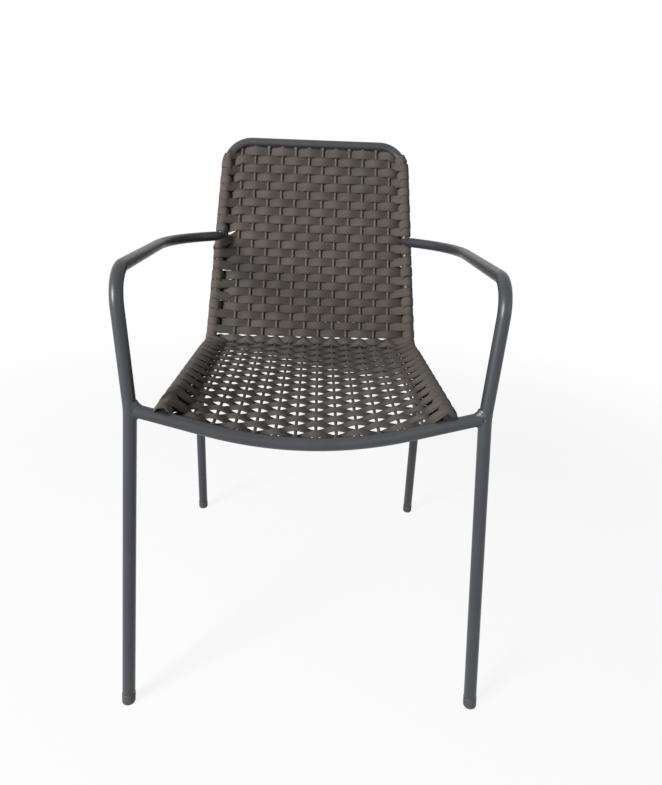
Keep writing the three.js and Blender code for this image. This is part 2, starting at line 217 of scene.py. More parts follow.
def new_material(name):
    """A new material, its tree and its shader."""
    material = bpy.data.materials.new(name)
    material.use_nodes = True
    return material, material.node_tree, material.node_tree.nodes["Principled BSDF"]


def noise(tree, place, scale, detail):
    """A value that drifts from place to place."""
    return node(tree, "ShaderNodeTexNoise", {
        "Vector": place, "Scale": scale, "Detail": detail})["Fac"]


def toned(tree, value, stops, colours):
    """A colour that goes from the first colour to the second between two stops of a value."""
    tone = node(tree, "ShaderNodeValToRGB", {"Fac": value})[0]
    for element, stop, colour in zip(tone.node.color_ramp.elements, stops, colours):
        element.position = stop
        element.color = (*colour, 1)
    return tone


def bumped(tree, height, strength, distance):
    """The fine relief of a surface."""
    return node(tree, "ShaderNodeBump", {
        "Height": height, "Strength": strength, "Distance": distance})[0]


# Dark grey powder coat: satin, a little orange peel, and a slight drift in its tone.
powder_coat, tree, shader = new_material("dark_grey_powder_coat")
place = node(tree, "ShaderNodeTexCoord")["Object"]
wire(tree, shader, {
    "Base Color": toned(tree, noise(tree, place, 22.0, 3.0), (0.3, 0.7), (coat_dark, coat_light)),
    "Roughness": moved_range(tree, noise(tree, place, 420.0, 2.0), (0.0, 1.0), (0.33, 0.40)),
    "Normal": bumped(tree, noise(tree, place, 700.0, 1.0), 0.07, 0.0004)})

tube_tree, sizes = new_tree("Bent tube", [
    ("Radius", "Float", tube_radius),
    ("Taper length", "Float", 0.0001),
    ("Tip share", "Float", 1.0),
    ("Material", "Material", None),
])
curve, _, from_end = along_line(tube_tree, sizes)
near_tip = moved_range(tube_tree, from_end, (0.0, sizes["Taper length"]), (1.0, 0.0))
narrowed = maths(tube_tree, "SUBTRACT", sizes["Tip share"], 1.0)
full = maths(tube_tree, "POWER", near_tip, tip_fullness)
scale = maths(tube_tree, "MULTIPLY_ADD", full, narrowed, 1.0)
finish_tree(tube_tree, round_skin(tube_tree, curve, sizes["Radius"], tube_sides, scale), sizes)


def tube(name, points, nodes, taper_length=0.0001, end_share=1.0):
    """One bent tube of the frame, which stands for its CAD node. Its far end can taper."""
    piece = grown(line_object(name, points), tube_tree, {
        "Taper length": taper_length, "Tip share": end_share, "Material": powder_coat})
    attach(piece, "root")
    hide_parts(nodes)


def from_foot(foot, upper):
    """Where a leg's tube begins, a little above its foot."""
    return foot.lerp(upper, tube_start / (upper - foot).length)


top_place = (614, 843)  # how far back and how high the top rail lies
bend_place = (481.5, 439)  # the corner where the back turns forward into the seat
arm_share = 210 / 404  # how far up from there the arms meet the back
leg_foot = at(263, 0, 0)
leg_joint = at(248, 39, 467)
arm_front = at(264.5, 51.5, 658)
arm_rear = at(277.5, 420, 655)
back_top = at(184.5, *top_place)
seat_rear = at(208, *bend_place)
arm_end = seat_rear.lerp(back_top, arm_share) + Vector((-0.0180, -0.0085, 0.0040))
leg_corners = [from_foot(leg_foot, leg_joint), leg_joint, arm_front, arm_rear, arm_end]
for label, side in (("left", -1), ("right", 1)):
    line = bent_line([mirrored(corner, side) for corner in leg_corners], leg_bends)
    tip = line.pop()
    onward = (tip - line[-1]).normalized()
    line += [tip - onward * (tip_length * (1 - i / tip_steps)) for i in range(tip_steps + 1)]
    tube("leg_and_arm_" + label, line, "front_leg_arm_" + label, tip_length, tip_share)

# Front rail
# A 19 mm tube rolled to a shallow hanging bow, coped at both ends and welded between the front legs.
rail_bow_radius = 0.557
rail_low = at(0, 39, 400)  # where the straight lines of the bow's two ends would meet
cope_share = 0.05  # how far the ends draw back from the legs' axes
rail_line = bent_line([mirrored(leg_joint, -1), rail_low, leg_joint], (rail_bow_radius,), step=1)
tube("front_rail_bow", [rail_line[0].lerp(rail_line[1], cope_share)] + rail_line[1:-1]
     + [rail_line[-1].lerp(rail_line[-2], cope_share)], "front_rail")
rail_half = np.array(rail_line)[len(rail_line) // 2:]


def rail_at(across):
    """The rail's axis at a distance in metres across from the middle."""
    height = np.interp(abs(across), rail_half[:, 0], rail_half[:, 2])
    return Vector((across, rail_half[0, 1], height))


# Seat and back tube
# One 19 mm tube bent to an upside-down U for the back, then forward under it into both seat rails,
# which end on the front rail. The strap is wound round its sides.
top_bend = 0.052
seat_bend = 0.035
top_middle = at(0, *top_place)
bend_corner = at(0, *bend_place)
seat_rise = Vector((0, 0.002, 0.0075))  # the seat rails lie a little above the front rail's axis
seat_fronts = {side: rail_at(across) + seat_rise for side, across in ((-1, -0.2035), (1, 0.1990))}
side_corners = {side: [mirrored(back_top, side), mirrored(seat_rear, side), seat_fronts[side]]
                for side in (-1, 1)}
side_runs = {side: bent_runs([top_middle] + side_corners[side], (top_bend, seat_bend))
             for side in (-1, 1)}
tube("seat_and_back_tube", bent_line(side_corners[-1][::-1] + side_corners[1],
                                     (seat_bend, top_bend, top_bend, seat_bend)), "seat_back_tube")

# Rear legs
# A hoop of the same tube: both rear legs and the cross tube that lies against the seat bends.
hoop_bend = 0.045
hoop_half_width = 0.239
hoop_gap = 0.0002  # between the cross tube and the seat bends
bend_middle = place_on(side_runs[1][3], 0.5)[0]
bend_out = bend_middle - side_runs[1][3]["centre"]
bend_out.x = 0
bend_out.normalize()
cross_tube = bend_middle + bend_out * (2 * tube_radius + hoop_gap)
hoop_corner = Vector((hoop_half_width, cross_tube.y, cross_tube.z))
rear_foot = at(246.5, 552, 0)
hoop_half = [hoop_corner, from_foot(rear_foot, hoop_corner)]
tube("rear_leg_hoop_tube", bent_line([mirrored(point, -1) for point in hoop_half[::-1]] + hoop_half,
                                     (hoop_bend, hoop_bend)), "rear_leg_hoop")

# Welds
# Fillets of weld metal, coated with the frame, run round the places where the front legs meet the rail
# and where the seat rails end on it; small beads lie where the cross tube touches the seat bends.
weld_rounds = 72
weld_steps = 5  # flats across a fillet
weld_hollow = 0.36  # how far a fillet's face sinks towards the corner
weld_ripple = 0.03
weld_thinnest = 0.16  # share of a fillet's leg that is left where the two tubes run alongside
weld_root = 0.0015  # how far a fillet reaches below the branch's skin
bead_ring = 0.0062  # the small round bead where the cross tube touches a seat bend
bead_radius = 0.0019
weld_points = []
weld_faces = []


def add_ring_weld(sections):
    """A closed bead: a ring of closed cross-sections, each a list of points."""
    first = len(weld_points)
    count, sides = len(sections), len(sections[0])
    for section in sections:
        weld_points.extend(tuple(p) for p in section)
    for i in range(count):
        for j in range(sides):
            n, k = (i + 1) % count, (j + 1) % sides
            weld_faces.append([first + ring * sides + spot
                               for ring, spot in ((i, j), (n, j), (n, k), (i, k))])


def fillet_weld(joint, branch, trunk, above, leg_above, leg_below):
    """The fillet where a branch tube lands square on a trunk tube of the same size.

    joint is where the axes meet, branch points away from it along the branch, trunk along the trunk.
    The fillet's legs grow from leg_below to leg_above towards the side that above points to.
    """
    branch = branch.normalized()
    trunk = trunk.normalized()
    across_both = branch.cross(trunk).normalized()
    in_plane = across_both.cross(branch).normalized()
    flat_branch = branch - trunk * branch.dot(trunk)
    sections = []
    for angle in around(weld_rounds):
        way = in_plane * math.cos(angle) + across_both * math.sin(angle)

        def surface(reach):
            """Where the branch's skin, enlarged by reach, meets the trunk's skin at this angle."""
            offset = way * (tube_radius + reach)
            flat_offset = offset - trunk * offset.dot(trunk)
            a = flat_branch.length_squared
            b = flat_branch.dot(flat_offset)
            c = flat_offset.length_squared - tube_radius ** 2
            return joint + offset + branch * ((-b + math.sqrt(max(b * b - a * c, 0.0))) / a)

        leg = leg_below + (leg_above - leg_below) * max(0.0, way.dot(above))
        leg *= weld_thinnest + (1 - weld_thinnest) * math.cos(angle) ** 2
        leg *= 1 + weld_ripple * math.sin(17 * angle) + weld_ripple * math.sin(29 * angle + 1)
        corner = surface(0.0)
        on_trunk = surface(leg * 0.95)
        on_branch = corner + branch * leg
        radial = (on_branch - joint) - branch * (on_branch - joint).dot(branch)
        radial.normalize()
        deep = corner - radial * weld_root
        section = []
        for step in range(weld_steps + 1):
            share = step / weld_steps
            sag = 4 * share * (1 - share) * weld_hollow
            section.append(on_branch.lerp(on_trunk, share).lerp(corner, sag))
        section[0] = section[0] - radial * 0.0004
        section[-1] = section[-1].lerp(deep, 0.2)
        sections.append(section + [deep])
    add_ring_weld(sections)


across_way = Vector((1, 0, 0))
for side in (-1, 1):
    fillet_weld(mirrored(leg_joint, side), mirrored(rail_low - leg_joint, side), Vector((0, 0.07, 1)),
                Vector((0, -0.1, 1)).normalized(), 0.0090, 0.0038)
    fillet_weld(rail_at(seat_fronts[side].x) + Vector((0, 0, 0.0035)),
                mirrored(seat_rear, side) - seat_fronts[side], Vector((side, 0, 0.2)),
                Vector((0, 0, -1)), 0.0034, 0.0030)
    touch = mirrored(bend_middle, side) + bend_out * tube_radius
    down = across_way.cross(bend_out)
    sections = []
    for angle in around(40):
        way = across_way * math.cos(angle) + down * math.sin(angle)
        sections.append([touch + way * (bead_ring + bead_radius * math.cos(turn))
                         + bend_out * (bead_radius * math.sin(turn))
                         for turn in around(10)])
    add_ring_weld(sections)

weld_mesh = bpy.data.meshes.new("frame_welds")
weld_mesh.from_pydata(weld_points, [], weld_faces)
weld_mesh.shade_smooth()
weld_mesh.set_sharp_from_angle(angle=math.radians(40))
weld_mesh.materials.append(powder_coat)
welds = in_scene("frame_welds", weld_mesh)
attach(welds, "root")

# Warp rods
# Twelve 5 mm steel rods run from under the top rail down the back, round the bend and forward to the
# front rail. Each end is welded on with a small taper of weld metal.
rod_radius = 0.0025
rod_sides = 20
rod_count = 12
rod_bend = 0.035
rod_spacing = (28.5, 29.4, 30.2)  # in mm at the top, at the bend and at the front rail
rod_rise = Vector((0, 0, 0.004))  # the rods' front ends lie above the front rail's axis
rod_drift = 0.005  # the front ends are welded on a little to the left, most at the eighth rod
weld_spread = 0.8  # how much thicker the weld metal makes a rod's end
weld_length = 0.007
rod_dark = (0.070, 0.064, 0.058)
rod_light = (0.098, 0.090, 0.081)


def near_to(value, middle, spread):
    """1 at the middle, with a soft fall to 0 on both sides of it."""
    return math.exp(-((value - middle) / spread) ** 2)


def rod_corners(number):
    """A rod's corners; the rods are 1 to 12 from the left and spread a little towards the front."""
    place = number - (rod_count + 1) / 2
    front = rail_at(place * rod_spacing[2] / 1000 - rod_drift * near_to(number, 8, 4.2))
    return [at(place * rod_spacing[0], *top_place), at(place * rod_spacing[1], *bend_place),
            front + rod_rise]


# The rods' coat: duller and a little warmer than the tubes', with a slow drift in its tone.
rod_coat, tree, shader = new_material("warm_grey_rod_coat")
place = node(tree, "ShaderNodeTexCoord")["Object"]
wire(tree, shader, {
    "Base Color": toned(tree, noise(tree, place, 60.0, 3.0), (0.3, 0.7), (rod_dark, rod_light)),
    "Roughness": 0.48, "Specular IOR Level": 0.30,
    "Normal": bumped(tree, noise(tree, place, 900.0, 1.0), 0.15, 0.0002)})

rod_tree, sizes = new_tree("Welded rod", [
    ("Radius", "Float", rod_radius),
    ("Weld spread", "Float", weld_spread),
    ("Weld length", "Float", weld_length),
    ("Buried length", "Float", tube_radius),
    ("Material", "Material", None),
])
curve, from_start, from_end = along_line(rod_tree, sizes)
bare = maths(rod_tree, "SUBTRACT", maths(rod_tree, "MINIMUM", from_start, from_end),
             sizes["Buried length"])
taper = moved_range(rod_tree, bare, (sizes["Weld length"], 0.0), (0.0, 1.0),
                    interpolation_type="SMOOTHSTEP")
swell = maths(rod_tree, "MULTIPLY_ADD", taper, sizes["Weld spread"], 1.0)
finish_tree(rod_tree, round_skin(rod_tree, curve, sizes["Radius"], rod_sides, swell), sizes)

rod_runs = []
weld_marks = [tube_radius + 0.001 * i for i in range(9)]  # close points where the weld tapers
for number in range(1, rod_count + 1):
    rod_runs.append(bent_runs(rod_corners(number), (rod_bend,)))
    line = bent_line(rod_corners(number), (rod_bend,), step=5)
    first_way = (line[1] - line[0]).normalized()
    last_way = (line[-2] - line[-1]).normalized()
    line = ([line[0]] + [line[0] + first_way * mark for mark in weld_marks] + line[1:-1]
            + [line[-1] + last_way * mark for mark in reversed(weld_marks)] + [line[-1]])
    rod = grown(line_object(f"rod_{number:02d}", line), rod_tree, {"Material": rod_coat})
    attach(rod, "root")
    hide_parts(f"warp_rod_{number:02d}")

# Woven strap
# One long flat strap of soft taupe webbing. It crosses over and under the rods in 50 rows, and at
# each turn it is wound round the side tube. The 25 pieces are its courses, each out and back again.
strap_width = 0.0186
strap_thickness = 0.0026
strap_dark = (0.079, 0.067, 0.058)
strap_light = (0.108, 0.092, 0.082)
row_count = 50
loose_row_share = 0.15  # how much taller the top row is than a row of the seat
loose_reach_share = 0.45  # how far down the weave the rows go on getting lower
rows_start = 0.010  # from the top rail to the first row, and from the last row to the front rail
rod_lift = rod_radius + strap_thickness / 2 + 0.00015  # the strap's middle above a rod's axis
strap_curve = 0.020  # how tightly the strap bends over a rod
turn_painted_light = 1.16  # painted light: the turns round the side tubes are painted paler than the rows
chance = np.random.default_rng(7)


def unit(vectors):
    """Vectors of length one."""
    return vectors / np.linalg.norm(vectors, axis=-1, keepdims=True)


def soft(value):
    """0 to 1 with soft ends."""
    value = min(max(float(value), 0.0), 1.0)
    return value * value * (3 - 2 * value)


def mixed(first, second, share):
    """A share of the way from the first value to the second."""
    return first + (second - first) * share


def stepped(run, begin, length):
    """Points and directions along a run, listed against the distance down the weave."""
    return [[begin + length * i / 120, *place_on(run, i / 120)[0], *place_on(run, i / 120)[1]]
            for i in range(121)]


def warp_table(runs):
    """The list of a whole rod or side tube, whose runs count as long as the middle line's."""
    return np.array([row for level, (run, length) in enumerate(zip(runs, level_lengths))
                     for row in stepped(run, sum(level_lengths[:level]), length)])


middle_runs = bent_runs([top_middle, bend_corner, rail_at(0) + rod_rise], (rod_bend,))
level_lengths = [run["length"] for run in middle_runs]
bend_begin = level_lengths[0]
bend_finish = bend_begin + level_lengths[1]
weave_finish = sum(level_lengths)
down_back = middle_runs[0]["along"]


def side_table(side):
    """The same list for a side tube, whose top corner is found by its depth below the top rail."""
    table = warp_table(side_runs[side][2:])
    upper = []
    for run in side_runs[side][:3]:
        for _, *place in stepped(run, 0, 0):
            below = (Vector(place[:3]) - side_runs[side][0]["from"]).dot(down_back)
            if 1e-6 < below < bend_begin:
                upper.append([below, *place])
    return np.vstack([np.array(upper), table[table[:, 0] >= bend_begin]])


warps = [side_table(-1)] + [warp_table(runs) for runs in rod_runs] + [side_table(1)]


def warp_at(warp, distance):
    """A rod's or side tube's point and unit direction at a distance down the weave."""
    table = warps[warp]
    values = np.array([np.interp(distance, table[:, 0], table[:, c]) for c in range(1, 7)])
    return values[:3], unit(values[3:])


# How far down the weave each row begins: the rows of the back are looser towards the top.
shares = np.arange(row_count + 1) / row_count
loose = np.minimum(shares, loose_reach_share)
stretched = shares + loose_row_share * (loose - loose ** 2 / (2 * loose_reach_share))
woven = weave_finish - 2 * rows_start
row_starts = rows_start + woven * stretched / (1 + loose_row_share * loose_reach_share / 2)
row_levels = (row_starts[:-1] + row_starts[1:]) / 2
row_pitches = np.diff(row_starts)


def in_bend(distance):
    """1 where the seat turns up into the back, and 0 well away from there."""
    return near_to(distance, bend_begin + 0.027, 0.014)


# The turns round the side tubes. They spread evenly, but keep clear of the arms' ends and top corners.
plain_arrivals = {-1: (11, 13, 17), 1: (10, 12, 16)}  # the rows that arrive without an extra turn
first_row_below_arm = 10
arm_distance = (top_middle - bend_corner.lerp(top_middle, arm_share)).length
arm_clearance = tube_radius + 0.0085
corner_clearance = {-1: 0.0365, 1: 0.0285}
last_turn_push = {-1: 0.0025, 1: 0.0}  # how far past its row the last turn is pushed
over_rail = {-1: 0.0160, 1: 0.0125}  # how far the last turns lean over the front rail on top
settle_rounds = 600
widest_gap = 0.024  # beyond it two turns don't count as neighbours
turn_widths = (0.0150, 0.0208)
turn_share = 0.97  # the least that a turn takes of the height of its row
turn_overlap = 0.0004
turn_spread = 0.30  # how much wider the turns lie behind the tube in the bend
turn_cup = -3.0  # how hollow a turn is across, towards the tube
last_turn_cup = -14.0  # and how much more so at the front rail
wrap_gap = 0.0002  # between the strap and the side tube
seat_wrap_gap = 0.0014  # and how much more round the seat
uneven_wrap = 0.0004


def wound_bands(side):
    """Where each turn of strap lies on a side tube, and how wide it lies there.

    Each turn stays as near its row as the others let it.
    """
    bands = []
    for row in range(row_count):
        if (row % 2 == 0) != (side > 0):
            bands.append((row, "leave"))
        elif row not in plain_arrivals[side]:
            bands.append((row, "arrive"))
    natural = np.array([row_levels[row] for row, _ in bands])
    natural[-1] += last_turn_push[side]
    spacing = np.minimum(np.array([row_pitches[row] for row, _ in bands]), strap_width) * turn_share
    above = np.array([row < first_row_below_arm for row, _ in bands])
    low = np.where(above, corner_clearance[side], arm_distance + arm_clearance)
    high = np.where(above, arm_distance - arm_clearance, natural[-1])
    places = natural.copy()
    for _ in range(settle_rounds):
        places += (natural - places) * 0.02
        middle = (places[:-2] + places[2:]) / 2
        places[1:-1] += (middle - places[1:-1]) * 0.2 * (above[:-2] == above[2:])
        for i in range(1, len(places)):
            overlap = (spacing[i] + spacing[i - 1]) / 2 - (places[i] - places[i - 1])
            if overlap > 0:
                places[i - 1] -= overlap / 2
                places[i] += overlap / 2
        places = np.clip(places, low, high)
    gaps = np.diff(places)
    before, after = (np.where(gap > widest_gap, spacing, gap)
                     for gap in (np.append(gaps[0], gaps), np.append(gaps, gaps[-1])))
    wide = np.clip((before + after) / 2 + turn_overlap, *turn_widths)
    return {band: (place, width) for band, place, width in zip(bands, places, wide)}


bands = {side: wound_bands(side) for side in (-1, 1)}


def turn_frame(side, distance):
    """A side tube's centre, direction, front and outward directions at a distance down the weave."""
    centre, along = warp_at(0 if side < 0 else rod_count + 1, distance)
    front = unit(np.cross(along, (1.0, 0.0, 0.0)))
    outward = unit(np.cross(front, along))
    if outward[0] * side < 0:
        outward = -outward
    return centre, along, front, outward


def wrap_radius(distance):
    """How far the strap's middle lies from the side tube's axis: it is wound looser round the seat."""
    tight = tube_radius + wrap_gap + strap_thickness / 2
    return tight + seat_wrap_gap * soft((distance - bend_finish) / 0.06)


def leaned(side, place, turn):
    """The last turns lean forward over the front rail, most where they pass over the tube's top."""
    last = soft((place - weave_finish + 0.100) / 0.090)
    on_top = ((1 - math.cos(math.radians(turn))) / 2) ** 1.5
    return place + last * (0.0045 + over_rail[side] * on_top)


def tube_station(side, place, width, turn):
    """One station of the strap round a side tube. Turn 0 is behind, 90 outside, 180 in front."""
    distance = leaned(side, place, turn)
    centre, along, front, outward = turn_frame(side, distance)
    a = math.radians(turn)
    radial = outward * math.sin(a) - front * math.cos(a)
    last = soft((place - weave_finish + 0.040) / 0.020)
    reach = wrap_radius(distance) + uneven_wrap * math.sin(190 * place + side) - 0.0006 * last
    width = width * (1 + in_bend(distance) * turn_spread * math.cos(a))
    width = width * (leaned(side, place + 0.001, turn) - leaned(side, place - 0.001, turn)) / 0.002
    # The last value is the painted light of the turns.
    return centre + radial * reach, along, radial, width, turn_cup + last_turn_cup * last, turn_painted_light


def moved_over(level, place, turn):
    """Where the strap is while it moves behind the tube from its row to the turn that leaves again."""
    return mixed(level, place, soft((turn + 20) / 130))


def winding(side, start_turn, end_turn, band_now):
    """Stations of the strap round a side tube between two turns, one every 10 degrees."""
    count = max(2, int(abs(end_turn - start_turn) / 10))
    turns = [start_turn + (end_turn - start_turn) * i / count for i in range(count + 1)]
    return [tube_station(side, *band_now(turn), turn) for turn in turns]


# The rows across the rods.
rod_opening = 0.0138  # how much further forward the seat's weave opens with each rod to the right
opening_reach = 0.085
slides = ((0.4365, 0.0090), (0.4202, -0.0035))  # levels whose upper crossings have slid, and how far
slide_spread = 0.008
row_scatter = 0.00025  # how unevenly the rows lie, and each crossing in its row
crossing_scatter = 0.0002
lift_scatter = (-0.0001, 0.0003)
bend_lift = 0.0045  # how much further the strap stands off the rods in the bend
seat_lift = 0.0003
steepest = 0.96  # the sine of the steepest way from one rod to the next
side_slope = math.radians(60)  # where a row takes over from the turn round the side tube


def crossing_form(distance, height, rod):
    """How wide the strap lies on a row, how hollow it is across and how much light and shade is painted
    on it.

    It is squeezed between its neighbours. Over and under the rods it is wider and its edges turn
    towards the middle of the weave. The rows are tightest at the rear of the seat, where they close
    the weave, and more so on the right: rod is counted from the left.
    """
    pitch = float(np.interp(distance, row_levels, row_pitches))
    near = max(-1.0, min(height / rod_lift, 1.0))
    over = near > 0
    on_seat = soft((distance - bend_begin) / 0.045)
    tight = min(1.0, math.exp(-(distance - bend_finish + 0.0014 - rod_opening * rod) / opening_reach))
    bend = in_bend(distance)
    back = pitch + 0.00015 + (0.0016 if over else 0.0032) * abs(near)
    seat = pitch + 0.0002 + (0.0004 + (0.0022 if over else 0.0062) * tight) * abs(near)
    tent = pitch * (0.62 + 0.54 * abs(near))
    width = mixed(mixed(back, seat, on_seat), tent, bend)
    curl = mixed(11, 9 + 11 * tight if over else -2 + 28 * tight, on_seat)
    if over:
        curl = mixed(curl, 42, bend)
    # Painted light and shade: the strap is painted paler on its crests over the rods and darker where
    # it dives under them, most on the seat.
    crest = soft((near + 0.5) / 1.5)
    rubbed = mixed(0.93 + 0.10 * crest, 0.70 + 0.54 * crest, on_seat)
    return width, -near * curl, rubbed


def crossing(row):
    """Stations of one row, from in front of its first side tube to behind its last."""
    end_side = 1 if row % 2 == 0 else -1
    begin_side = -end_side
    order = list(range(rod_count + 2))[::end_side]
    level = row_levels[row] + chance.normal(0, row_scatter)
    bend = in_bend(level)
    on_seat = soft((level - bend_begin) / 0.05)
    at_front = soft((level - weave_finish + 0.110) / 0.090)
    begin_band = bands[begin_side][(row, "leave")]
    arriving_early = (row, "arrive") not in bands[end_side]
    end_band = bands[end_side][(row + 1, "leave") if arriving_early else (row, "arrive")]
    slide = sum(far * near_to(level, middle, slide_spread) for middle, far in slides)
    spots = [level + chance.normal(0, crossing_scatter) - (slide if q % 2 == 0 else 0.0)
             for q in range(len(order))]
    spots[0] = leaned(begin_side, begin_band[0], 180)
    spots[-1] = level if arriving_early else end_band[0]
    points, alongs = (np.array(found) for found in zip(*map(warp_at, order, spots)))
    fronts = [turn_frame(begin_side, spots[0])[2]]
    for q in range(1, rod_count + 1):
        way = points[min(q + 1, rod_count)] - points[max(q - 1, 1)]
        fronts.append(unit(np.cross(alongs[q], way * end_side)))
    fronts.append(turn_frame(end_side, spots[-1])[2])
    gaps = np.linalg.norm(np.diff(points, axis=0), axis=1)
    senses = [1, -1] * (rod_count // 2 + 1)
    radii = [wrap_radius(level)] + [strap_curve - 0.009 * bend] * rod_count + [wrap_radius(level)]
    lifts = [0.0]
    for q in range(1, rod_count + 1):
        lift = rod_lift + chance.uniform(*lift_scatter)
        if senses[q] > 0:
            lift += bend_lift * bend + seat_lift * on_seat
        lifts.append(-senses[q] * (radii[q] - lift))
    lifts.append(0.0)
    slopes = []
    for q in range(rod_count + 1):
        rise = lifts[q + 1] - lifts[q]
        reach = min((radii[q] + radii[q + 1]) / math.hypot(gaps[q], rise), steepest)
        slopes.append(math.atan2(rise, gaps[q]) - senses[q] * math.asin(reach))
    stations = []

    def add(q, run, height, turned=None):
        """One station, run metres past warp q and this high above the weave."""
        cell = min(q, rod_count)
        share = (run + (gaps[cell] if q > cell else 0.0)) / gaps[cell]
        if share < 0 and 0 < cell:
            cell -= 1
            share = 1 + run / gaps[cell]
        inside = min(max(share, 0.0), 1.0)
        front = unit(mixed(fronts[cell], fronts[cell + 1], inside))
        along = unit(mixed(alongs[cell], alongs[cell + 1], inside))
        place = mixed(points[cell], points[cell + 1], share) + front * height
        facing = front
        width, cup, rubbed = crossing_form(level, height, mixed(order[cell], order[cell + 1], inside))
        if cell == 0 and 0 < share < 1:
            shoulder = math.sin(math.pi * share ** 0.8) * on_seat
            place = place + front * (0.0055 * shoulder)
            width += (0.0055 + 0.0040 * at_front) * shoulder
        elif cell == rod_count and 0 < share < 1:
            spread = (0.0090 + 0.0050 * at_front) * on_seat
            spread += 0.0040 * (1 - on_seat) * (arriving_early or end_side > 0)
            width += spread * math.sin(math.pi * share)
        if turned is not None:
            side, turn, (ring_spot, ring_width) = turned
            if q and arriving_early:
                ring_spot = moved_over(level, ring_spot, turn)
            ring_place, tube_along, facing, ring_width, ring_cup, _ = tube_station(
                side, ring_spot, ring_width, turn)
            past = 180 - turn if turn > 90 else turn
            mix = soft((past + 12) / 70)
            place = mixed(place, ring_place, mix)
            along = unit(mixed(along, tube_along, mix))
            width = mixed(width, ring_width, max(mix, 0.5))
            cup = mixed(cup, ring_cup, mix)
            # The row's painted light and shade gives way to the turn's painted light.
            rubbed = mixed(rubbed, turn_painted_light, max(mix, 0.5))
        stations.append((place, along, facing, width, cup, rubbed))

    def on_arc(q, turn):
        """How far past warp q and how high the strap is, where it has this slope on its arc there."""
        return np.array([-senses[q] * radii[q] * math.sin(turn),
                         lifts[q] + senses[q] * radii[q] * math.cos(turn)])

    for q in range(rod_count + 2):
        if q == 0:
            for turn in np.linspace(side_slope, slopes[0], 10):
                add(q, *on_arc(q, turn), (begin_side, 180 - math.degrees(turn), begin_band))
        elif q == rod_count + 1:
            for turn in np.linspace(slopes[-1], side_slope, 10):
                add(q, *on_arc(q, turn), (end_side, math.degrees(turn), end_band))
        else:
            for turn in np.linspace(slopes[q - 1], slopes[q], 6):
                add(q, *on_arc(q, turn))
        if q <= rod_count:
            start = on_arc(q, slopes[q])
            finish = on_arc(q + 1, slopes[q]) + (gaps[q], 0)
            for share in (0.2, 0.4, 0.6, 0.8):
                add(q, *mixed(start, finish, share))
    return stations


# The whole strap, station by station, and the places where it is cut into courses.
strap = winding(-1, -90, 112, lambda turn: bands[-1][(0, "leave")])
cuts = [0]
for row in range(row_count):
    side = 1 if row % 2 == 0 else -1
    strap += crossing(row)
    leaving = bands[side].get((row + 1, "leave"))
    arriving = bands[side].get((row, "arrive"))
    if arriving is None:
        if side < 0:
            cuts.append(len(strap) - 4)
        level = row_levels[row]
        strap += winding(side, 70, 112, lambda turn: (moved_over(level, leaving[0], turn), leaving[1]))
    elif leaving is None:
        strap += winding(side, 70, 262, lambda turn: arriving)
    else:
        def band_now(turn):
            """Past the outside the strap moves over to the place where its next row begins."""
            share = soft((turn - 200) / 125)
            return [mixed(a, b, share) for a, b in zip(arriving, leaving)]
        strap += winding(side, 70, 270, band_now)
        if side < 0:
            cuts.append(len(strap) - 1)
        strap += winding(side, 280, 472, band_now)
cuts.append(len(strap) - 1)

# The last column is the painted light and shade of each station.
points, guides, facings, widths, cups, painted_shadings = (np.array(column) for column in zip(*strap))
ways = unit(np.vstack([points[1:2] - points[:1], points[2:] - points[:-2],
                       points[-1:] - points[-2:-1]]))
edges_way = unit(guides - ways * np.sum(guides * ways, axis=1, keepdims=True))
faces_way = np.cross(ways, edges_way)
faces_way *= np.sign(np.sum(faces_way * facings, axis=1, keepdims=True))
lengths = np.concatenate([[0], np.cumsum(np.linalg.norm(np.diff(points, axis=0), axis=1))])


# Taupe webbing: fine yarns along and across it, edges painted darker as shade, paler crests and darker
# dives painted as light and shade, and a slow drift of its colour.
webbing, tree, shader = new_material("taupe_strap_webbing")
place = node(tree, "ShaderNodeAttribute", attribute_name="strap_place", attribute_type="GEOMETRY")


def drawn_out(scale, detail):
    """Noise that is drawn out along, across or through the strap."""
    spot = node(tree, "ShaderNodeMapping", {"Vector": place["Vector"], "Scale": scale})
    return noise(tree, spot[0], 1.0, detail)


tone = toned(tree, drawn_out((9.0, 60.0, 60.0), 4.0), (0.28, 0.72), (strap_dark, strap_light))
yarns = drawn_out((90.0, 1900.0, 300.0), 2.0)
ribs = drawn_out((1400.0, 250.0, 250.0), 1.0)
shade = moved_range(tree, yarns, (0.0, 1.0), (0.86, 1.12))
# Painted light and shade carried on the strap: paler crests and turns, darker dives.
rubbed = node(tree, "ShaderNodeAttribute", attribute_name="strap_rubbed", attribute_type="GEOMETRY")
across = node(tree, "ShaderNodeSeparateXYZ", {0: place["Vector"]})["Y"]
# Painted shade: the strap is painted darker towards both edges, where shade falls between the rows.
painted_edge_shade = moved_range(tree, maths(tree, "ABSOLUTE", across), (0.0055, 0.0095), (1.0, 0.72),
                       interpolation_type="SMOOTHSTEP")
painted_shade_and_yarns = maths(tree, "MULTIPLY", maths(tree, "MULTIPLY", rubbed["Fac"], painted_edge_shade), shade)
colour = node(tree, "ShaderNodeVectorMath", {0: tone, 1: painted_shade_and_yarns}, operation="MULTIPLY")
wire(tree, shader, {
    "Base Color": colour[0], "Roughness": 0.82, "Specular IOR Level": 0.12,
    "Sheen Weight": 0.03, "Sheen Roughness": 0.5,
    "Normal": bumped(tree, maths(tree, "ADD", yarns, ribs), 0.35, 0.0003)})

strap_tree, sizes = new_tree("Flat strap", [
    ("Thickness", "Float", strap_thickness),
    ("Edge squareness", "Float", 0.4),
    ("Slackness", "Float", 0.0003),
    ("Seed", "Float", 3.0),
    ("Material", "Material", None),
])
line_values = ("strap_middle", "strap_edge_way", "strap_face_way", "strap_width", "strap_cup",
               "strap_run", "outline_x", "outline_y")


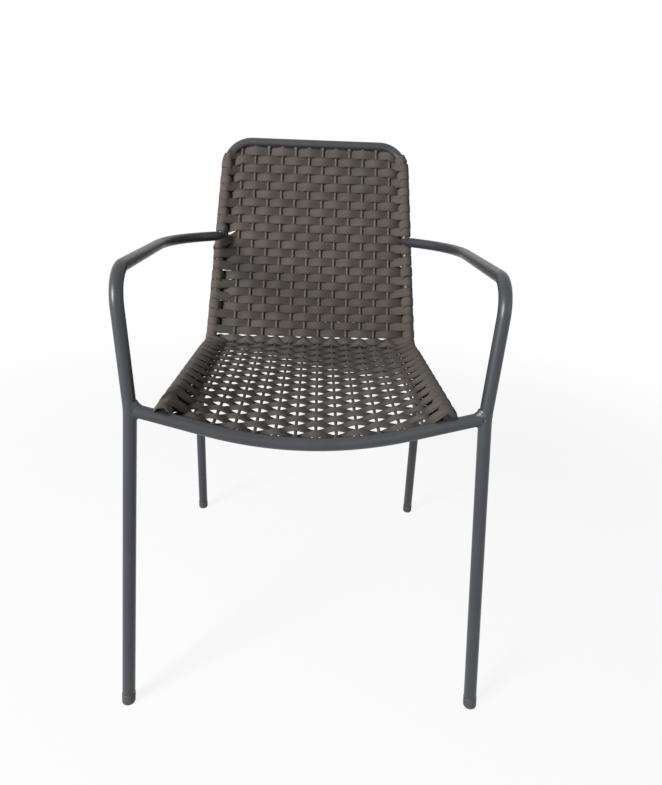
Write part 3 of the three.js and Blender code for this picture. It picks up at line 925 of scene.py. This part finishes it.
def kept(label, kind="FLOAT"):
    """Reads back a value that was stored on the strap's line or its outline."""
    return node(strap_tree, "GeometryNodeInputNamedAttribute", {"Name": label},
                data_type=kind)["Attribute"]


def stored(mesh, label, value, kind="FLOAT"):
    """Stores a value point by point."""
    return node(strap_tree, "GeometryNodeStoreNamedAttribute", {
        "Geometry": mesh, "Name": label, "Value": value}, data_type=kind, domain="POINT")[0]


def product(first, second):
    """Two numbers multiplied."""
    return maths(strap_tree, "MULTIPLY", first, second)


def vector_maths(operation, first, second):
    """The sum or difference of two vectors, or a vector scaled by a number."""
    return node(strap_tree, "ShaderNodeVectorMath", {
        0: first, "Scale" if operation == "SCALE" else 1: second}, operation=operation)[0]


spot = node(strap_tree, "GeometryNodeInputPosition")[0]
line = node(strap_tree, "GeometryNodeMeshToCurve", {"Mesh": sizes["Geometry"]})[0]
line = stored(line, "strap_middle", spot, "FLOAT_VECTOR")
outline = node(strap_tree, "GeometryNodeCurvePrimitiveCircle",
               {"Resolution": 20, "Radius": 1.0})["Curve"]
round_place = node(strap_tree, "ShaderNodeSeparateXYZ", {0: spot})
for label, value in (("outline_x", round_place["X"]), ("outline_y", round_place["Y"])):
    squared = maths(strap_tree, "POWER", maths(strap_tree, "ABSOLUTE", value),
                    sizes["Edge squareness"])
    outline = stored(outline, label, product(squared, maths(strap_tree, "SIGN", value)))
skin = node(strap_tree, "GeometryNodeCurveToMesh",
            {"Curve": line, "Profile Curve": outline, "Fill Caps": True})[0]
across = product(kept("outline_x"), product(kept("strap_width"), 0.5))
through = product(kept("outline_y"), product(sizes["Thickness"], 0.5))
cupped = maths(strap_tree, "MULTIPLY_ADD", product(across, across), kept("strap_cup"), through)
edge_part = vector_maths("SCALE", kept("strap_edge_way", "FLOAT_VECTOR"), across)
face_part = vector_maths("SCALE", kept("strap_face_way", "FLOAT_VECTOR"), cupped)
placed = vector_maths("ADD", kept("strap_middle", "FLOAT_VECTOR"),
                      vector_maths("ADD", edge_part, face_part))
seeded = node(strap_tree, "ShaderNodeCombineXYZ", {0: sizes["Seed"], 1: sizes["Seed"]})
slack = node(strap_tree, "ShaderNodeTexNoise", {
    "Vector": vector_maths("ADD", placed, seeded[0]), "Scale": 45.0, "Detail": 1.0})["Color"]
slack = vector_maths("SCALE", vector_maths("SUBTRACT", slack, (0.5, 0.5, 0.5)), sizes["Slackness"])
skin = node(strap_tree, "GeometryNodeSetPosition",
            {"Geometry": skin, "Position": vector_maths("ADD", placed, slack)})[0]
strap_place = node(strap_tree, "ShaderNodeCombineXYZ", {0: kept("strap_run"), 1: across, 2: through})
skin = stored(skin, "strap_place", strap_place[0], "FLOAT_VECTOR")
for label in line_values:
    skin = node(strap_tree, "GeometryNodeRemoveAttribute", {"Geometry": skin, "Name": label})[0]
finish_tree(strap_tree, skin, sizes)

for course, (begin, end) in enumerate(zip(cuts, cuts[1:]), 1):
    part = slice(begin, end + 1)
    line = line_object(
        f"strap_{course:02d}", points[part], strap_edge_way=edges_way[part],
        strap_face_way=faces_way[part], strap_width=widths[part], strap_cup=cups[part],
        strap_run=lengths[part], strap_rubbed=painted_shadings[part])
    piece = grown(line, strap_tree, {"Material": webbing})
    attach(piece, "root")
    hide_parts(f"strap_course_{course:02d}")

# Foot caps
# Black moulded plastic caps pushed into the open tube ends, a little wider than the tube, with a
# rounded lower edge that stands flat on the floor.
cap_radius = 0.0100
cap_height = 0.018
cap_edge = 0.004
cap_sides = 48
cap_grey = (0.046, 0.048, 0.052, 1)
cap_scuffed = (0.13, 0.13, 0.13, 1)

# Dark matt plastic with a fine moulded grain, scuffed paler near the floor.
plastic, tree, shader = new_material("foot_cap_plastic")
place = node(tree, "ShaderNodeTexCoord")["Object"]
height = node(tree, "ShaderNodeSeparateXYZ", {0: place})["Z"]
grain = noise(tree, place, 260.0, 3.0)
scuff = maths(tree, "MULTIPLY", moved_range(tree, height, (0.006, 0.0), (0.0, 0.7)), grain)
colour = node(tree, "ShaderNodeMix", {0: scuff, 6: cap_grey, 7: cap_scuffed}, data_type="RGBA")
wire(tree, shader, {"Base Color": colour[2], "Roughness": 0.55,
                    "Normal": bumped(tree, grain, 0.3, 0.0003)})

cap_outline = [(cap_radius - cap_edge + cap_edge * math.sin(a), cap_edge - cap_edge * math.cos(a))
               for a in (math.pi / 2 * i / 6 for i in range(7))]
cap_outline += [(cap_radius, cap_height - 0.0007), (cap_radius - 0.0003, cap_height - 0.0002),
                (cap_radius - 0.0009, cap_height), (tube_radius - 0.0005, cap_height)]
cap_top = (len(cap_outline) - 1) * cap_sides
cap_faces = [[low + i, low + j, low + cap_sides + j, low + cap_sides + i]
             for low in range(0, cap_top, cap_sides)
             for i, j in ((i, (i + 1) % cap_sides) for i in range(cap_sides))]
cap_faces += [list(reversed(range(cap_sides))), list(range(cap_top, cap_top + cap_sides))]
for label, floor_point, leg_top in (("front", leg_foot, leg_joint), ("rear", rear_foot, hoop_corner)):
    for side_label, side in (("left", -1), ("right", 1)):
        foot = mirrored(floor_point, side)
        upright = (mirrored(leg_top, side) - foot).normalized()
        sideways = upright.orthogonal().normalized()
        other = upright.cross(sideways)
        cap_points = []
        for radius, rise in cap_outline:
            for a in around(cap_sides):
                point = foot + upright * rise + (sideways * math.cos(a) + other * math.sin(a)) * radius
                point.z = max(point.z, 0.0) if rise < cap_edge else point.z
                cap_points.append(tuple(point))
        mesh = bpy.data.meshes.new(f"foot_cap_{label}_{side_label}")
        mesh.from_pydata(cap_points, [], cap_faces)
        mesh.shade_smooth()
        mesh.materials.append(plastic)
        cap = in_scene(mesh.name, mesh)
        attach(cap, "root")
        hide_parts(f"foot_{label}_{side_label}")

# Floor and background
# A white studio: the floor is nearly the white of the background and keeps the chair's soft shadow.
floor_radius = 6
floor_corners = 96


def seen_by(tree, *kinds):
    """1 for light that is one of these kinds of ray, and 0 for all other light."""
    rays = node(tree, "ShaderNodeLightPath")
    seen = 0.0
    for kind in kinds:
        seen = maths(tree, "MAXIMUM", seen, rays[kind])
    return seen


def blend(tree, share, first, second):
    """A share of the way from one shader or background to another."""
    return node(tree, "ShaderNodeMixShader", {0: share, 1: first[0], 2: second[0]})


floor_mesh = bpy.data.meshes.new("studio_floor")
floor_rim = [(floor_radius * math.cos(a), floor_radius * math.sin(a), 0) for a in around(floor_corners)]
floor_mesh.from_pydata([(0, 0, 0)] + floor_rim, [],
                       [[0, i + 1, (i + 1) % floor_corners + 1] for i in range(floor_corners)])
floor = in_scene("studio_floor", floor_mesh)
floor_paint, tree, shader = new_material("white_floor")
tree.nodes.remove(shader)
place = node(tree, "ShaderNodeTexCoord")["Object"]
far = node(tree, "ShaderNodeVectorMath", {0: place}, operation="LENGTH")["Value"]
fade = moved_range(tree, far, (0.7, 2.2), (0.88, 1.0), interpolation_type="SMOOTHSTEP")
matt = node(tree, "ShaderNodeBsdfDiffuse", {"Color": (0.86, 0.86, 0.86, 1)})
glow = node(tree, "ShaderNodeEmission", {"Color": (1, 1, 1, 1), "Strength": 1.0})
dull = node(tree, "ShaderNodeBsdfDiffuse", {"Color": (0.42, 0.42, 0.42, 1)})
seen = seen_by(tree, "Is Camera Ray", "Is Glossy Ray")
choice = blend(tree, seen, dull, blend(tree, fade, matt, glow))
tree.links.new(choice[0], tree.nodes["Material Output"].inputs["Surface"])
floor_mesh.materials.append(floor_paint)

world = bpy.data.worlds.new("studio")
bpy.context.scene.world = world
world.use_nodes = True
tree = world.node_tree
ambient = tree.nodes["Background"]
wire(tree, ambient, {"Color": (0.95, 0.97, 1.0, 1), "Strength": 0.19})
white = node(tree, "ShaderNodeBackground", {"Color": (1, 1, 1, 1), "Strength": 1.0})
seen = seen_by(tree, "Is Camera Ray", "Is Glossy Ray", "Is Transmission Ray")
tree.links.new(blend(tree, seen, ambient.outputs, white)[0],
               tree.nodes["World Output"].inputs["Surface"])


# Studio lamps
# A broad soft lamp from the upper left in front, and a weaker one from the right.
def lamp(name, place, aim, size, power):
    """A square soft lamp that points at a place."""
    light = bpy.data.lights.new(name, "AREA")
    light.size = size
    light.energy = power
    holder = in_scene(name, light)
    holder.location = place
    holder.rotation_euler = (Vector(aim) - Vector(place)).to_track_quat("-Z", "Y").to_euler()


lamp("main_lamp", (-2.7, -2.7, 2.0), (0, 0, 0.55), size=1.3, power=225)
lamp("side_lamp", (2.2, -1.6, 1.4), (0, 0, 0.5), size=1.6, power=7)

# Camera
# It stands in front at about the chair's height, looks slightly down and is turned a little clockwise.
picture_width, picture_height = 662, 785
focal_pixels = 604
centre_x, centre_y = 327, 337.5  # the pixel that the lens points at
turned_right, turned_down, rolled = math.radians(1.68), math.radians(15.87), math.radians(2.12)
camera_place = (-0.0018, -1.0503, 0.8007)
lens = bpy.data.cameras.new("photo_camera")
lens.sensor_fit = "VERTICAL"
lens.sensor_height = 36
lens.lens = focal_pixels * lens.sensor_height / picture_height
lens.shift_x = (picture_width / 2 - centre_x) / picture_height
lens.shift_y = (centre_y - picture_height / 2) / picture_height
camera = in_scene("photo_camera", lens)
camera.matrix_world = (Matrix.Translation(camera_place) @ Matrix.Rotation(-turned_right, 4, "Z")
                       @ Matrix.Rotation(math.pi / 2 - turned_down, 4, "X")
                       @ Matrix.Rotation(rolled, 4, "Z"))
bpy.context.scene.camera = camera
bpy.context.scene.view_settings.view_transform = "Standard"

bpy.context.view_layer.update()
